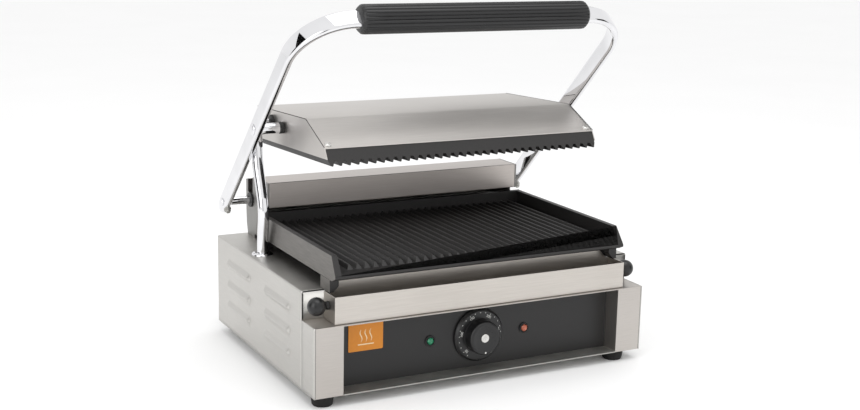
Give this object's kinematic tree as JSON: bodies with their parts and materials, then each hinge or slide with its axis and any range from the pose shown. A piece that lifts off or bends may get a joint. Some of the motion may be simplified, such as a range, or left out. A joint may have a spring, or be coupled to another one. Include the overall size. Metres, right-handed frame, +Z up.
{
  "type": "panini press",
  "caption": "Countertop contact grill with a lifting ribbed upper plate on a U-shaped handle, an open ribbed lower plate, a drip tray and a thermostat dial.",
  "frame": {"origin": "centre of the footprint on the worktop, under the four rubber feet", "axes": "+Z up, front (drip tray, dial) towards -Y, left side (conduit) at -X"},
  "size_m": [0.42, 0.305, 0.4175],
  "materials": {
    "brushed_steel": "brushed stainless sheet",
    "bright_steel": "polished",
    "zinc_steel": "dull zinc plated",
    "cast_iron": "black enamelled cast iron, satin",
    "black_panel": "satin black",
    "black_plastic": "black phenolic moulding",
    "badge_orange": "plain orange plate",
    "bezel": "black",
    "green_lens": "faceted translucent green",
    "orange_lens": "faceted translucent orange",
    "rubber": "matt black",
    "element_sheath": "heat-darkened tube",
    "mineral_wool": "pressed mineral wool",
    "aluminium": "mill finish",
    "phenolic": "brown phenolic",
    "copper": "bare copper"
  },
  "bodies": {
    "base": {"housing_shell": "brushed_steel", "front_frame": "brushed_steel", "base_plate": "zinc_steel", "rear_panel": "zinc_steel", "rubber_feet": "rubber", "foot_screws": "zinc_steel", "mains_gland": "black_plastic", "control_panel": "black_panel", "panel_badge": "badge_orange", "lamp_bezels": "bezel", "green_lamp": "green_lens", "orange_lamp": "orange_lens", "thermostat_body": "phenolic", "thermostat_probe": "copper", "heat_shield": "aluminium", "insulation_pad": "mineral_wool", "lower_heating_element": "element_sheath", "element_clamps": "zinc_steel", "plate_supports": "cast_iron", "lower_grill_plate": "cast_iron", "hinge_box_cover": "brushed_steel", "hinge_end_plates": "brushed_steel", "hinge_bushes": "zinc_steel", "counter_springs": "zinc_steel", "spring_anchor": "zinc_steel", "conduit_ring": "bright_steel", "conduit_hose": "bright_steel", "terminal_block": "phenolic", "body_screws": "zinc_steel"},
    "handle": {"handle_bar": "bright_steel", "handle_grip": "black_plastic", "hinge_shaft": "bright_steel", "shaft_set_screws": "zinc_steel", "spring_collars": "zinc_steel", "pivot_pins": "bright_steel", "pivot_spacers": "bright_steel"},
    "upper": {"upper_cover": "brushed_steel", "upper_grill_plate": "cast_iron", "upper_heating_element": "element_sheath", "upper_insulation": "mineral_wool", "pivot_brackets": "cast_iron", "pivot_washers": "black_plastic", "conduit_bush": "black_plastic", "cover_front_screws": "bright_steel"},
    "tray": {"drip_tray": "brushed_steel", "tray_studs": "zinc_steel", "tray_knobs": "black_plastic"},
    "dial": {"thermostat_knob": "black_plastic", "knob_cap": "bright_steel", "thermostat_spindle": "zinc_steel"}
  },
  "joints": [
    {"name": "handle_lift", "type": "hinge", "parent": "base", "child": "handle", "pos_m": [0, 0.136, 0.165], "axis": [1, 0, 0], "range_deg": [0, 39.67], "stiffness_Nm_per_rad": 4, "springref_deg": -114.59, "deforming": ["conduit_hose"]},
    {"name": "plate_tilt", "type": "hinge", "parent": "handle", "child": "upper", "pos_m": [0, 0.02865, 0.26976], "axis": [1, 0, 0], "range_deg": [-37.4, 0]},
    {"name": "thermostat_turn", "type": "hinge", "parent": "base", "child": "dial", "pos_m": [0, -0.1295, 0.0505], "axis": [0, 1, 0], "range_deg": [0, 270]},
    {"name": "tray_pull", "type": "slide", "parent": "base", "child": "tray", "axis": [0, -1, 0], "range_m": [0, 0.1]}
  ],
  "couplings": [
    {"joint": "plate_tilt", "follows": "handle_lift", "ratio": -0.94203}
  ]
}
